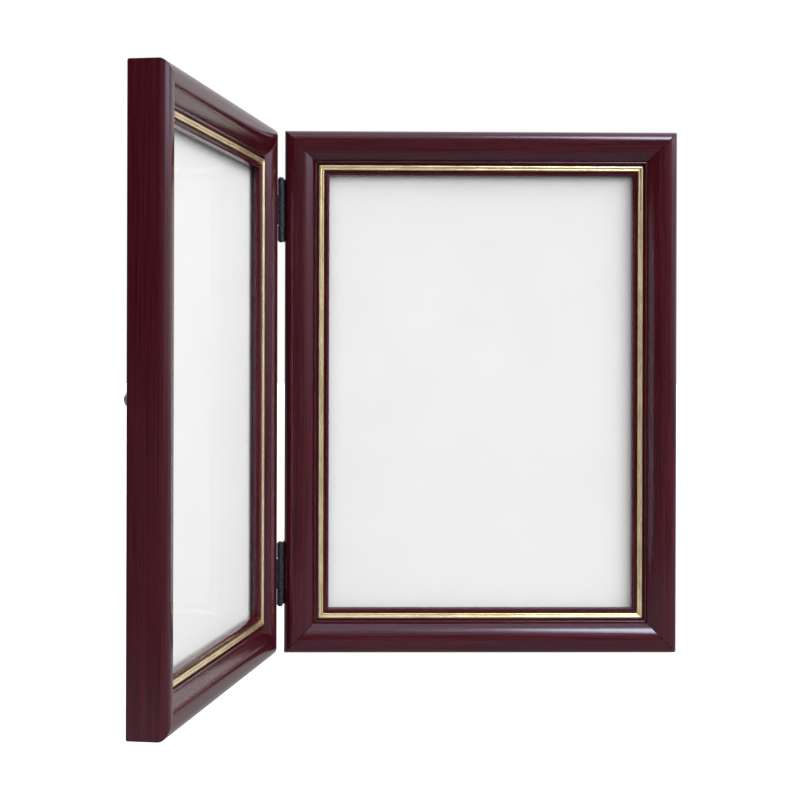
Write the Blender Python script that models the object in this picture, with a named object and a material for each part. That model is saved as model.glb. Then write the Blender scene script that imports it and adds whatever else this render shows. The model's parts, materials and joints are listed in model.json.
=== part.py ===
"""Folding double picture frame that stands on its own two leaves.

Two identical moulded wood leaves hang on a pair of small butt hinges, so the pair folds shut
like a book and stands on a table when it is part open. Each leaf is four mitred mouldings with
a gilt bead let into them, and a rebate at the back that takes the glass, the picture and a
backing board, kept in by four turn buttons.

Lengths are in millimetres until mesh_object() turns them into metres.

A leaf is described by u, from its hinge edge to its outer edge, d, from its back to its front,
and z, up from the table. Each leaf hangs from an empty on the hinge axis, at table height.
"""
import math

import bmesh
import bpy
from mathutils import Matrix, Vector

MM = 0.001

# Leaf
LEAF_WIDTH = 153.0
LEAF_HEIGHT = 203.0
LEAF_DEPTH = 13.0
FACE_WIDTH = 16.5           # outer edge to sight edge
GAP = 0.3                   # clearance between pieces that touch
MITRE_TRIM = GAP / math.sqrt(2.0)

# Moulding section, s in from the outer edge
BACK_ROUND = 0.6
SIDE_DEPTH = 9.8            # flat side face, before the rounded nose
NOSE_WIDTH = 3.9
CREST_END = 4.6             # end of the level crest
FALL_RADIUS = 8.7           # the crest's convex fall towards the picture
FALL_TURN = 52.0            # how steep the fall gets, in degrees
RIDGE_HEIGHT = 0.4          # the small round ridge at the foot of the fall
CHANNEL_START = 12.35
CHANNEL_END = 15.45
CHANNEL_FLOOR = 8.1
LIP_D = 9.0
LIP_CHAMFER = 0.2

# Gilt bead: a round bead with a smaller one on its picture side
BEAD_START = 13.2
BEAD_END = 15.15
BEAD_TOP = 10.25
BEAD_RADIUS = 0.65
SMALL_BEAD_TOP = 10.0

# Rebate and what it holds, back to front
REBATE_S = 11.5
REBATE_D = 7.3
BOARD_BACK = 0.1
BOARD_THICK = 3.2
PICTURE_THICK = 1.5         # a print on card
GLASS_THICK = 1.6

# Hinges
AXIS_SIDE = 1.43            # axis to each leaf's hinge edge
AXIS_FRONT = 0.2            # axis in front of the crest
AXIS_D = LEAF_DEPTH + AXIS_FRONT
REST_SWING = 80.0           # how far the left leaf has swung from flat open, in degrees
HINGE_LENGTH = 24.0
HINGE_INSET = 31.0          # end of the leaf to the middle of a hinge
END_KNUCKLE = 6.0
BARREL_RADIUS = 1.2
PIN_RADIUS = 0.5
PIN_BORE = 0.75
PIN_HEAD_RADIUS = 1.05
PIN_HEAD_HEIGHT = 0.4
PLATE_THICK = 0.7
PLATE_BACK = 9.2            # axis to the plate's back edge
NOTCH_BACK = 1.7            # axis to the notch for the other plate's knuckle
HINGE_SCREW_BACK = 5.6
HINGE_SCREW_SPREAD = 7.2
HINGE_HEAD_RADIUS = 1.5
HINGE_SHANK_RADIUS = 0.8
HINGE_SHANK_LENGTH = 5.5
SINK_CLEARANCE = 0.4

# Turn buttons
BUTTON_S = 6.0
BUTTON_WIDTH = 6.5
BUTTON_REACH = 11.5         # pivot to tip
BUTTON_THICK = 0.7
PAN_RADIUS = 2.2
PAN_HEIGHT = 1.2
BUTTON_SHANK_RADIUS = 1.0
BUTTON_SHANK_LENGTH = 8.0

ROUND_SIDES = 16
PLACES = ("hinge_stile", "outer_stile", "bottom_rail", "top_rail")
SIDES = {"right": 1, "left": -1}


def clear_scene():
    for item in list(bpy.data.objects):
        bpy.data.objects.remove(item)


def principled(name, colour, roughness, metallic=0.0, alpha=1.0):
    material = bpy.data.materials.new(name)
    material.use_nodes = True
    shader = material.node_tree.nodes["Principled BSDF"]
    shader.inputs["Base Color"].default_value = (*colour, 1.0)
    shader.inputs["Roughness"].default_value = roughness
    shader.inputs["Metallic"].default_value = metallic
    shader.inputs["Alpha"].default_value = alpha
    return material


def make_materials():
    return {
        "mahogany": principled("mahogany", (0.085, 0.016, 0.022), 0.3),
        "gilt": principled("gilt", (0.75, 0.56, 0.27), 0.3, 1.0),
        "glass": principled("glass", (0.95, 0.97, 0.97), 0.03, 0.0, 0.3),
        "picture": principled("picture", (0.86, 0.86, 0.86), 0.8),
        "board": principled("board", (0.30, 0.20, 0.13), 0.8),
        "black_steel": principled("black_steel", (0.015, 0.017, 0.02), 0.35, 0.6),
        "zinc": principled("zinc", (0.6, 0.6, 0.62), 0.4, 1.0),
    }


def mesh_object(name, bm, material, parent=None, smooth_angle=None):
    """Turns a bmesh in millimetres into a named object in metres."""
    bmesh.ops.scale(bm, vec=(MM, MM, MM), verts=bm.verts)
    bmesh.ops.recalc_face_normals(bm, faces=bm.faces)
    mesh = bpy.data.meshes.new(name)
    bm.to_mesh(mesh)
    bm.free()
    if material:
        mesh.materials.append(material)
    if smooth_angle is not None:
        mesh.shade_smooth()
        mesh.set_sharp_from_angle(angle=math.radians(smooth_angle))
    item = bpy.data.objects.new(name, mesh)
    bpy.context.collection.objects.link(item)
    item.parent = parent
    return item


def add_prism(bm, lower, upper):
    """Closes a solid between two matching loops of points."""
    low = [bm.verts.new(point) for point in lower]
    high = [bm.verts.new(point) for point in upper]
    bm.faces.new(low)
    bm.faces.new(high)
    for i, vert in enumerate(low):
        j = (i + 1) % len(low)
        bm.faces.new((vert, low[j], high[j], high[i]))


def add_turned(bm, profile, place):
    """Turns (radius, height) points about Z, then moves them by the matrix place."""
    rings = []
    for radius, height in profile:
        ring = []
        for k in range(ROUND_SIDES):
            angle = 2.0 * math.pi * k / ROUND_SIDES
            point = Vector((radius * math.cos(angle), radius * math.sin(angle), height))
            ring.append(bm.verts.new(place @ point))
        rings.append(ring)
    for ring, following in zip(rings, rings[1:]):
        for k in range(ROUND_SIDES):
            j = (k + 1) % ROUND_SIDES
            bm.faces.new((ring[k], ring[j], following[j], following[k]))
    bm.faces.new(rings[0])
    bm.faces.new(rings[-1])


def arc(centre, radii, start, end, steps):
    """Points along an ellipse's arc, angles in degrees, both ends included."""
    points = []
    for k in range(steps + 1):
        angle = math.radians(start + (end - start) * k / steps)
        points.append((centre[0] + radii[0] * math.cos(angle),
                       centre[1] + radii[1] * math.sin(angle)))
    return points


def fall_section():
    """The crest's convex fall, and the ridge between its foot and the channel."""
    turn = math.radians(FALL_TURN)
    foot_s = CREST_END + FALL_RADIUS * math.sin(turn)
    foot_d = LEAF_DEPTH - FALL_RADIUS * (1.0 - math.cos(turn))
    points = arc((CREST_END, LEAF_DEPTH - FALL_RADIUS), (FALL_RADIUS, FALL_RADIUS),
                 90.0, 90.0 - FALL_TURN, 9)
    ridge_half = (CHANNEL_START - foot_s) / 2.0
    points += arc((foot_s + ridge_half, foot_d), (ridge_half, RIDGE_HEIGHT), 180.0, 0.0, 6)[1:]
    return points


def moulding_section():
    """The moulding as a closed loop of (s, d), from the back's outer corner round the front."""
    points = arc((BACK_ROUND, BACK_ROUND), (BACK_ROUND, BACK_ROUND), 270.0, 180.0, 3)
    nose_depth = LEAF_DEPTH - SIDE_DEPTH
    points += arc((NOSE_WIDTH, SIDE_DEPTH), (NOSE_WIDTH, nose_depth), 180.0, 90.0, 12)
    points += fall_section()
    points += [
        (CHANNEL_START, CHANNEL_FLOOR),
        (CHANNEL_END, CHANNEL_FLOOR),
        (CHANNEL_END, LIP_D),
        (FACE_WIDTH - LIP_CHAMFER, LIP_D),
        (FACE_WIDTH, LIP_D - LIP_CHAMFER),
        (FACE_WIDTH, REBATE_D),
        (REBATE_S, REBATE_D),
        (REBATE_S, 0.0),
    ]
    return points


def bead_section():
    """A strip with a large and a small round bead on top, standing in the moulding's channel."""
    bottom = CHANNEL_FLOOR + GAP
    small = (BEAD_END - BEAD_START) / 2.0 - BEAD_RADIUS
    points = [(BEAD_END, bottom), (BEAD_START, bottom)]
    points += arc((BEAD_START + BEAD_RADIUS, BEAD_TOP - BEAD_RADIUS),
                  (BEAD_RADIUS, BEAD_RADIUS), 180.0, 15.0, 8)
    points += arc((BEAD_END - small, SMALL_BEAD_TOP - small), (small, small), 130.0, 0.0, 4)
    return points


def leaf_point(side, u, d, z):
    return Vector((side * (AXIS_SIDE + u), AXIS_D - d, z))


def member_point(side, place, s, d, end):
    """A point of a mitred member: s in from the leaf's edge, at one mitre or the other."""
    trim = s + MITRE_TRIM
    if place == "hinge_stile":
        return leaf_point(side, s, d, trim if end == 0 else LEAF_HEIGHT - trim)
    if place == "outer_stile":
        return leaf_point(side, LEAF_WIDTH - s, d, trim if end == 0 else LEAF_HEIGHT - trim)
    height = s if place == "bottom_rail" else LEAF_HEIGHT - s
    return leaf_point(side, trim if end == 0 else LEAF_WIDTH - trim, d, height)


def member(name, side, place, section, material, parent, smooth_angle):
    bm = bmesh.new()
    ends = [[member_point(side, place, s, d, end) for s, d in section] for end in (0, 1)]
    add_prism(bm, *ends)
    return mesh_object(name, bm, material, parent, smooth_angle)


def cutter(name, bm, target, parent):
    """Cuts a bmesh out of target, and keeps it as a wire guide that is not a piece."""
    tool = mesh_object(name, bm, None, parent)
    tool.hide_render = True
    tool.display_type = 'WIRE'
    cut = target.modifiers.new(name, 'BOOLEAN')
    cut.operation = 'DIFFERENCE'
    cut.solver = 'EXACT'
    cut.object = tool
    return tool


def facing(direction, origin):
    """Places a shape turned about Z so that its Z points along direction from origin."""
    turn = Vector((0.0, 0.0, 1.0)).rotation_difference(Vector(direction))
    return Matrix.Translation(origin) @ turn.to_matrix().to_4x4()


def drill(bm, origin, direction, radius, start, end):
    add_turned(bm, [(radius, start), (radius, end)], facing(direction, origin))


def hinge_heights():
    return {"lower": HINGE_INSET, "upper": LEAF_HEIGHT - HINGE_INSET}


def hinge_screw_heights(centre):
    return {"low": centre - HINGE_SCREW_SPREAD, "high": centre + HINGE_SCREW_SPREAD}


def button_places():
    """Where each turn button's pivot stands, and the turn that points it at the leaf's middle."""
    return {
        "hinge_stile": (BUTTON_S, LEAF_HEIGHT / 2.0, 0.0),
        "outer_stile": (LEAF_WIDTH - BUTTON_S, LEAF_HEIGHT / 2.0, 180.0),
        "bottom_rail": (LEAF_WIDTH / 2.0, BUTTON_S, 270.0),
        "top_rail": (LEAF_WIDTH / 2.0, LEAF_HEIGHT - BUTTON_S, 90.0),
    }


def screw_holes(side, place):
    """Every pilot hole of one member, as one bmesh of separate cylinders."""
    bm = bmesh.new()
    u, z, _ = button_places()[place]
    drill(bm, leaf_point(side, u, 0.0, z), (0.0, -1.0, 0.0),
          BUTTON_SHANK_RADIUS + GAP, -1.0, BUTTON_SHANK_LENGTH)
    if place == "hinge_stile":
        for centre in hinge_heights().values():
            for height in hinge_screw_heights(centre).values():
                origin = Vector((side * AXIS_SIDE, HINGE_SCREW_BACK, height))
                drill(bm, origin, (side, 0.0, 0.0), HINGE_SHANK_RADIUS + GAP,
                      -1.0, HINGE_SHANK_LENGTH + GAP)
    return bm


def panel(name, side, back, thick, material, parent):
    """A flat sheet in the rebate, clear of the mouldings all round."""
    inset = REBATE_S + GAP
    bm = bmesh.new()
    corners = [(inset, inset), (LEAF_WIDTH - inset, inset),
               (LEAF_WIDTH - inset, LEAF_HEIGHT - inset), (inset, LEAF_HEIGHT - inset)]
    faces = [[leaf_point(side, u, d, z) for u, z in corners] for d in (back, back + thick)]
    add_prism(bm, *faces)
    return mesh_object(name, bm, material, parent)


def add_rebate_contents(leaf, side, materials, parent):
    back = BOARD_BACK
    panel(f"{leaf}_backing_board", side, back, BOARD_THICK, materials["board"], parent)
    back += BOARD_THICK + GAP
    panel(f"{leaf}_picture", side, back, PICTURE_THICK, materials["picture"], parent)
    glass_back = REBATE_D - GAP - GLASS_THICK
    panel(f"{leaf}_glass", side, glass_back, GLASS_THICK, materials["glass"], parent)


def button_outline():
    """A tab with round ends, from its pivot along +X."""
    half = BUTTON_WIDTH / 2.0
    near = arc((0.0, 0.0), (half, half), 90.0, 270.0, 10)
    far = arc((BUTTON_REACH - half, 0.0), (half, half), -90.0, 90.0, 10)
    return near + far


def add_turn_button(leaf, side, place, materials, parent):
    u, z, turn = button_places()[place]
    name = f"{leaf}_turn_button_{place}"
    outline = button_outline()
    bm = bmesh.new()
    faces = [[Vector((x, y, up)) for x, up in outline] for y in (0.0, BUTTON_THICK)]
    add_prism(bm, *faces)
    tab = mesh_object(name, bm, materials["zinc"], parent, 40.0)
    tab.location = leaf_point(side, u, -GAP, z) * MM
    tab.rotation_euler = (0.0, math.radians(turn if side > 0 else 180.0 - turn), 0.0)
    hole = bmesh.new()
    drill(hole, (0.0, 0.0, 0.0), (0.0, 1.0, 0.0), BUTTON_SHANK_RADIUS + GAP,
          -1.0, BUTTON_THICK + 1.0)
    cutter(f"cut_{name}", hole, tab, tab)

    screw = bmesh.new()
    seat = 2.0 * GAP + BUTTON_THICK
    dome = arc((0.0, 0.0), (PAN_RADIUS, PAN_HEIGHT), 0.0, 75.0, 4)
    profile = [(BUTTON_SHANK_RADIUS * 0.5, seat - BUTTON_SHANK_LENGTH),
               (BUTTON_SHANK_RADIUS, seat - BUTTON_SHANK_LENGTH + 1.5),
               (BUTTON_SHANK_RADIUS, seat)]
    profile += [(radius, seat + height) for radius, height in dome]
    add_turned(screw, profile, facing((0.0, 1.0, 0.0), leaf_point(side, u, 0.0, z)))
    mesh_object(f"{leaf}_button_screw_{place}", screw, materials["zinc"], parent, 40.0)


def hinge_plate_levels(leaf):
    """Heights from the hinge's foot where the plate carries a knuckle, and where it does not."""
    ends = (0.0, END_KNUCKLE, HINGE_LENGTH - END_KNUCKLE, HINGE_LENGTH)
    if leaf == "right":
        return [(ends[0], ends[1] - GAP, True), (ends[1] - GAP, ends[2] + GAP, False),
                (ends[2] + GAP, ends[3], True)]
    return [(ends[0], ends[1], False), (ends[1], ends[2], True), (ends[2], ends[3], False)]


def hinge_plate_loops():
    """Plan of a hinge plate about the axis: the plain plate, and the arm with its knuckle."""
    inner = AXIS_SIDE - GAP - PLATE_THICK
    outer = AXIS_SIDE - GAP
    plate = [(outer, NOTCH_BACK), (outer, PLATE_BACK), (inner, PLATE_BACK), (inner, NOTCH_BACK)]
    start = math.degrees(math.acos(inner / BARREL_RADIUS))
    end = math.degrees(math.acos(outer / BARREL_RADIUS))
    knuckle = arc((0.0, 0.0), (BARREL_RADIUS, BARREL_RADIUS), start, 360.0 + end, 26)
    return plate, knuckle


def add_hinge_plate_walls(bm, side, foot, levels):
    """Stacks the plate's levels into one skin, knuckles and notches included."""
    plate, knuckle = hinge_plate_loops()

    def ring(points, height):
        return [bm.verts.new((side * x, y, foot + height)) for x, y in points]

    def walls(low, high, closed):
        count = len(low) if closed else len(low) - 1
        for i in range(count):
            j = (i + 1) % len(low)
            bm.faces.new((low[i], low[j], high[j], high[i]))

    heights = [level[0] for level in levels] + [levels[-1][1]]
    plates = [ring(plate, height) for height in heights]
    bm.faces.new(plates[0])
    bm.faces.new(plates[-1])
    for i, (low, high, has_knuckle) in enumerate(levels):
        walls(plates[i], plates[i + 1], False)
        if not has_knuckle:
            bm.faces.new((plates[i][3], plates[i][0], plates[i + 1][0], plates[i + 1][3]))
            continue
        lower = ring(knuckle, low)
        upper = ring(knuckle, high)
        for edge, loop in ((plates[i], lower), (plates[i + 1], upper)):
            bm.faces.new([edge[3]] + loop + [edge[0]])
        chain_low = [plates[i][3]] + lower + [plates[i][0]]
        chain_high = [plates[i + 1][3]] + upper + [plates[i + 1][0]]
        walls(chain_low, chain_high, False)


def add_hinge_plate(leaf, side, which, centre, materials, parent):
    name = f"{leaf}_hinge_plate_{which}"
    foot = centre - HINGE_LENGTH / 2.0
    bm = bmesh.new()
    add_hinge_plate_walls(bm, side, foot, hinge_plate_levels(leaf))
    plate = mesh_object(name, bm, materials["black_steel"], parent, 30.0)

    cuts = bmesh.new()
    drill(cuts, (0.0, 0.0, centre), (0.0, 0.0, 1.0), PIN_BORE, -HINGE_LENGTH, HINGE_LENGTH)
    inner = AXIS_SIDE - GAP - PLATE_THICK
    wide = HINGE_HEAD_RADIUS + SINK_CLEARANCE
    narrow = HINGE_SHANK_RADIUS + SINK_CLEARANCE
    slope = (wide - narrow) / PLATE_THICK
    sink = [(wide + slope * GAP, -GAP), (narrow - slope * GAP, PLATE_THICK + GAP)]
    for label, height in hinge_screw_heights(centre).items():
        origin = Vector((side * inner, HINGE_SCREW_BACK, height))
        add_turned(cuts, sink, facing((side, 0.0, 0.0), origin))
        screw = bmesh.new()
        profile = [(HINGE_HEAD_RADIUS, 0.0), (HINGE_SHANK_RADIUS, PLATE_THICK),
                   (HINGE_SHANK_RADIUS, HINGE_SHANK_LENGTH), (0.3, HINGE_SHANK_LENGTH + 1.2)]
        add_turned(screw, profile, facing((side, 0.0, 0.0), origin))
        mesh_object(f"{leaf}_hinge_screw_{which}_{label}", screw, materials["black_steel"],
                    parent, 40.0)
    cutter(f"cut_{name}", cuts, plate, parent)


def add_hinge_pin(which, centre, materials, parent):
    """A plain pin with a low head beyond each end of the barrel."""
    half = HINGE_LENGTH / 2.0 + GAP
    profile = [(PIN_HEAD_RADIUS * 0.7, -half - PIN_HEAD_HEIGHT),
               (PIN_HEAD_RADIUS, -half - PIN_HEAD_HEIGHT * 0.5),
               (PIN_HEAD_RADIUS, -half),
               (PIN_RADIUS, -half)]
    profile += [(radius, -height) for radius, height in reversed(profile)]
    bm = bmesh.new()
    add_turned(bm, profile, Matrix.Translation((0.0, 0.0, centre)))
    mesh_object(f"hinge_pin_{which}", bm, materials["black_steel"], parent, 40.0)


def add_leaf(leaf, side, materials, parent):
    section = moulding_section()
    bead = bead_section()
    for place in PLACES:
        wood = member(f"{leaf}_{place}", side, place, section, materials["mahogany"],
                      parent, 30.0)
        cutter(f"cut_{leaf}_{place}", screw_holes(side, place), wood, parent)
        member(f"{leaf}_gilt_bead_{place}", side, place, bead, materials["gilt"], parent, 40.0)
        add_turn_button(leaf, side, place, materials, parent)
    add_rebate_contents(leaf, side, materials, parent)
    for which, centre in hinge_heights().items():
        add_hinge_plate(leaf, side, which, centre, materials, parent)


def empty(name, parent=None):
    item = bpy.data.objects.new(name, None)
    bpy.context.collection.objects.link(item)
    item.parent = parent
    return item


def stand_on_origin(base):
    """Moves the whole frame so that the middle of its footprint is the origin."""
    bpy.context.view_layer.update()
    corners = []
    for item in bpy.context.scene.objects:
        if item.type == 'MESH' and not item.hide_render:
            corners += [item.matrix_world @ vert.co for vert in item.data.vertices]
    low_x, high_x = min(c.x for c in corners), max(c.x for c in corners)
    low_y, high_y = min(c.y for c in corners), max(c.y for c in corners)
    base.location = (-(low_x + high_x) / 2.0, -(low_y + high_y) / 2.0, 0.0)


def main():
    clear_scene()
    materials = make_materials()
    base = empty("hinge_axis")
    for leaf, side in SIDES.items():
        add_leaf(leaf, side, materials, empty(f"{leaf}_leaf", base))
    for which, centre in hinge_heights().items():
        add_hinge_pin(which, centre, materials, bpy.data.objects["right_leaf"])
    bpy.data.objects["left_leaf"].rotation_euler.z = math.radians(REST_SWING)
    stand_on_origin(base)


main()
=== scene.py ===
import json
import math

import bmesh
import bpy
from mathutils import Matrix, Vector


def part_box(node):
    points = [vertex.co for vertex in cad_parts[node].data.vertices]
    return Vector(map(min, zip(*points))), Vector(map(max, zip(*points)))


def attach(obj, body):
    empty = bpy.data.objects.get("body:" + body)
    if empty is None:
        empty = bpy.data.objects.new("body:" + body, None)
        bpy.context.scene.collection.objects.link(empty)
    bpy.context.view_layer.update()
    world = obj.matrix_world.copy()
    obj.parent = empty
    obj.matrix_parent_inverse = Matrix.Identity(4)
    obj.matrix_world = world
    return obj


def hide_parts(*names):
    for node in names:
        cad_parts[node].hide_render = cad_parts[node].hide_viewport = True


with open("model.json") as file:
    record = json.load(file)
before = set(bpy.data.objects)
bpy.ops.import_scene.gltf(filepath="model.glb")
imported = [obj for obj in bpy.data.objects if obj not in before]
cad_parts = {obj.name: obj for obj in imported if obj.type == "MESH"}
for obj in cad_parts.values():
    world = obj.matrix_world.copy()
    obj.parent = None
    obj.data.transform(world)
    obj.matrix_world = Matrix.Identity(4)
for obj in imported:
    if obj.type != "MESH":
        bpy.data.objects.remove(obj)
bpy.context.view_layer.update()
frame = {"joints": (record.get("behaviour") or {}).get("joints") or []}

MM = 0.001
SIDES = {"right": 1, "left": -1}
BODIES = {"right": "root", "left": "left_leaf"}
PLACES = ("hinge_stile", "outer_stile", "bottom_rail", "top_rail")

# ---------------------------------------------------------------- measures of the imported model

HINGE = next(joint for joint in frame["joints"] if joint["name"] == "leaf_hinge")
AXIS = Vector((HINGE["pos_m"][0], HINGE["pos_m"][1], 0.0))
REST_SWING = math.radians(-HINGE["range_deg"][0])
STILE_LOW, STILE_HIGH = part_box("right_hinge_stile")
OUTER_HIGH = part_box("right_outer_stile")[1]
RAIL_LOW, RAIL_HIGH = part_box("right_top_rail")
AXIS_SIDE = (STILE_LOW.x - AXIS.x) / MM
AXIS_D = (STILE_HIGH.y - AXIS.y) / MM
LEAF_DEPTH = (STILE_HIGH.y - STILE_LOW.y) / MM
LEAF_WIDTH = (OUTER_HIGH.x - STILE_LOW.x) / MM
LEAF_HEIGHT = RAIL_HIGH.z / MM
FACE_WIDTH = (RAIL_HIGH.z - RAIL_LOW.z) / MM

# ---------------------------------------------------------------- sizes of the finished pieces

# Moulding section
BACK_ROUND = 0.6
SIDE_DEPTH = 9.8
NOSE_WIDTH = 3.9
CREST_END = 4.6
FALL_RADIUS = 8.7
FALL_TURN = 52.0
RIDGE_HEIGHT = 0.4
CHANNEL_START = 12.35
CHANNEL_END = 15.4
CHANNEL_FLOOR = 8.1
LIP_D = 9.0
LIP_BUMP = (0.24, 0.13)      # half width and height of the fillet beside the bead
LIP_ROUND = 0.25            # as meant, see rounded()
REBATE_S = 11.5
REBATE_D = 7.3
REBATE_ROUND = 0.15         # as meant, see rounded()
MITRE_TRIM = 0.05           # each member stops this far from its mitre plane
MITRE_EASE = 0.12           # depth and width of the eased edge along a mitre
EDGE_SUPPORT = 0.35         # extra point beside each sharp edge, which keeps wear narrow
BEND_LOW = 0.6              # wear starts at this bend, in radians per mm
BEND_SPAN = 1.6             # and is full after this much more

# Gilt bead
BEAD_START = 13.2
BEAD_END = 15.2
BEAD_TOP = 10.25
BEAD_RADIUS = 0.6
SMALL_BEAD_TOP = 10.05

# Sheets in the rebate
SHEET_EASE = {"glass": 0.25, "picture": 0.04, "backing_board": 0.3}
SHEET_MARGIN = 0.6          # border cut into both flat faces, which keeps wear narrow
SHEET_FLAT = 10.0           # faces of a sheet larger than this, in mm2, are its fronts and backs

# Hinges, x outwards from the axis to the leaf, y towards the back
END_KNUCKLE = 6.0
KNUCKLE_GAP = 0.07          # half of the gap between two knuckles
KNUCKLE_BORE = 0.72
KNUCKLE_EASE = 0.13
PIN_RADIUS = 0.66
ARM_START = 25.0            # where the plate's arm meets the barrel, in degrees
CURL_END = 65.0             # where the curled sheet ends, in degrees
PLATE_INNER = 0.72
PLATE_OUTER = 1.41
NOTCH_BACK = 1.7
ARM_BACK = 3.0
PLATE_CORNER = 0.9          # as meant, see rounded()
PLATE_EASE = 0.1
ARM_SHOULDER = 0.95         # how far back the arm's inner side starts
SINK_PROFILE = ((0.25, -0.2), (0.05, 0.0))   # past the screw head's radius, and depth
SINK_HOLE = ((0.95, 0.7), (0.95, 1.2))       # radius and depth
HEAD_SUNK = 0.05

# Screws and turn buttons. A recess is (reach, depth, width).
HINGE_RECESS = (0.85, 0.4, 0.42)
HINGE_HEAD_EASE = (0.12, 0.06)       # smaller radius and depth of the head's eased rim
HINGE_HEAD_DEPTH = 0.78
HINGE_SHANK_RADIUS = 0.8
HINGE_SHANK_END = 5.5
HINGE_TIP = (0.3, 6.7)               # radius and depth
BUTTON_HALF_WIDTH = 3.25
BUTTON_EASE = 0.14
RIB_LENGTH = 5.4
RIB_WIDTH = 1.9
RIB_HEIGHT = 0.42
RIB_MIDDLE = 6.4
RIB_SIDES = 32
PAN_RADIUS = 2.2
PAN_HEIGHT = 1.2
PAN_RIM = 0.1
PAN_RECESS = (1.25, 0.75, 0.55)
SHANK_RADIUS = 1.0
SHANK_LENGTH = 8.0
SHANK_TAPER = 6.5           # how far down the shank starts to narrow
HOLE_CLEARANCE = 0.1
ROUND_SIDES = 40
BUTTON_TURNS = {"hinge_stile": 0.0, "outer_stile": 180.0, "bottom_rail": 90.0,
                "top_rail": -90.0}

# Wedge nails pressed across each mitre, at the back
NAIL_S = 5.8
NAIL_LEG = 4.6
NAIL_THICK = 0.5
NAIL_PROUD = 0.05
NAIL_DEPTH = 4.0
NAIL_EASE = 0.05

# Camera, from the right leaf's hinge edge and back plane
CAMERA_PLACE = (24.66, -658.93, 112.30)
CAMERA_YAW = 0.0166
CAMERA_ROLL = 0.0025
CAMERA_LENS = 74.96
CAMERA_SHIFT = (0.0305, -0.0449)
SENSOR_WIDTH = 36.0

# Studio light. A lamp is (name, azimuth, elevation, distance, size, radiance, flags).
LAMPS = (
    ("softbox", 33.0, 42.0, 1.3, (0.64, 0.56), 16.0, {"visible_diffuse": False}),
    ("key", 18.0, 16.0, 1.8, (2.4, 1.2), 3.4, {"visible_glossy": False}),
    ("right_panel", 72.0, 30.0, 1.2, (1.0, 0.8), 2.6, {}),
)
LAMP_TARGET = (0.05, 0.0, 0.1)               # from the hinge axis, in metres
WORLD_SIDES = (-0.9, 0.9, 0.0, 0.22)         # x from and to, light from the left and right
WORLD_LOBES = (("Y", 0.2, 0.7, 0.55), ("Z", 0.35, 0.85, 1.3), ("X", 0.5, 0.9, 0.6))
WORLD_SEEN = 1.0
FLOOR_SEEN = 0.72
FLOOR_GLOW = (-0.30, -0.04, 0.06, 0.36)      # between two places along y, in metres
FLOOR_WHITE = 0.75
FLOOR_SOFT = 0.08
FLOOR_REACH = 9.0
FLOOR_DROP = -0.0001


# ---------------------------------------------------------------- node helpers

def new_material(name):
    material = bpy.data.materials.new(name)
    material.use_nodes = True
    tree = material.node_tree
    shader = tree.nodes["Principled BSDF"]
    return material, tree, shader


def node(tree, kind, **values):
    """Adds a node, sets its properties and inputs, and links inputs given as sockets.

    A name is an input's own, with _ for a space, or i and the input's number."""
    made = tree.nodes.new(kind)
    for key, value in values.items():
        if key in made.bl_rna.properties and key not in made.inputs:
            setattr(made, key, value)
            continue
        socket = made.inputs[int(key[1:])] if key[0] == "i" and key[1:].isdigit() \
            else made.inputs[key.replace("_", " ")]
        if isinstance(value, bpy.types.NodeSocket):
            tree.links.new(value, socket)
        else:
            socket.default_value = value
    return made


def scaled(tree, vector, scale):
    made = node(tree, "ShaderNodeMapping", Vector=vector, Scale=scale)
    return made.outputs["Vector"]


def noise(tree, vector, scale=1.0, detail=3.0, roughness=0.5, distortion=0.0):
    made = node(tree, "ShaderNodeTexNoise", Vector=vector, Scale=scale, Detail=detail,
                Roughness=roughness, Distortion=distortion)
    return made.outputs["Fac"]


def ramp(tree, factor, stops):
    made = node(tree, "ShaderNodeValToRGB", Fac=factor)
    elements = made.color_ramp.elements
    while len(elements) < len(stops):
        elements.new(0.5)
    for element, (position, colour) in zip(elements, stops):
        element.position = position
        element.color = (*colour, 1.0)
    return made.outputs["Color"]


def remap(tree, value, low, high, to_low=0.0, to_high=1.0, smooth=False):
    made = node(tree, "ShaderNodeMapRange", i0=value, i1=low, i2=high, i3=to_low, i4=to_high)
    made.interpolation_type = "SMOOTHSTEP" if smooth else "LINEAR"
    return made.outputs[0]


def math_node(tree, operation, first, second=0.0):
    made = node(tree, "ShaderNodeMath", i0=first, i1=second)
    made.operation = operation
    return made.outputs[0]


def mix_colour(tree, factor, first, second):
    made = tree.nodes.new("ShaderNodeMix")
    made.data_type = "RGBA"
    for index, value in ((0, factor), (6, first), (7, second)):
        if isinstance(value, bpy.types.NodeSocket):
            tree.links.new(value, made.inputs[index])
        elif index == 0:
            made.inputs[index].default_value = value
        else:
            made.inputs[index].default_value = (*value, 1.0)
    return made.outputs[2]


def bump(tree, height, distance, strength):
    made = node(tree, "ShaderNodeBump", Height=height, Distance=distance, Strength=strength)
    return made.outputs["Normal"]


def attribute(tree, name, output="Vector"):
    made = node(tree, "ShaderNodeAttribute")
    made.attribute_name = name
    return made.outputs[output]


def object_coordinates(tree):
    return node(tree, "ShaderNodeTexCoord").outputs["Object"]


# ---------------------------------------------------------------- materials

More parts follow.
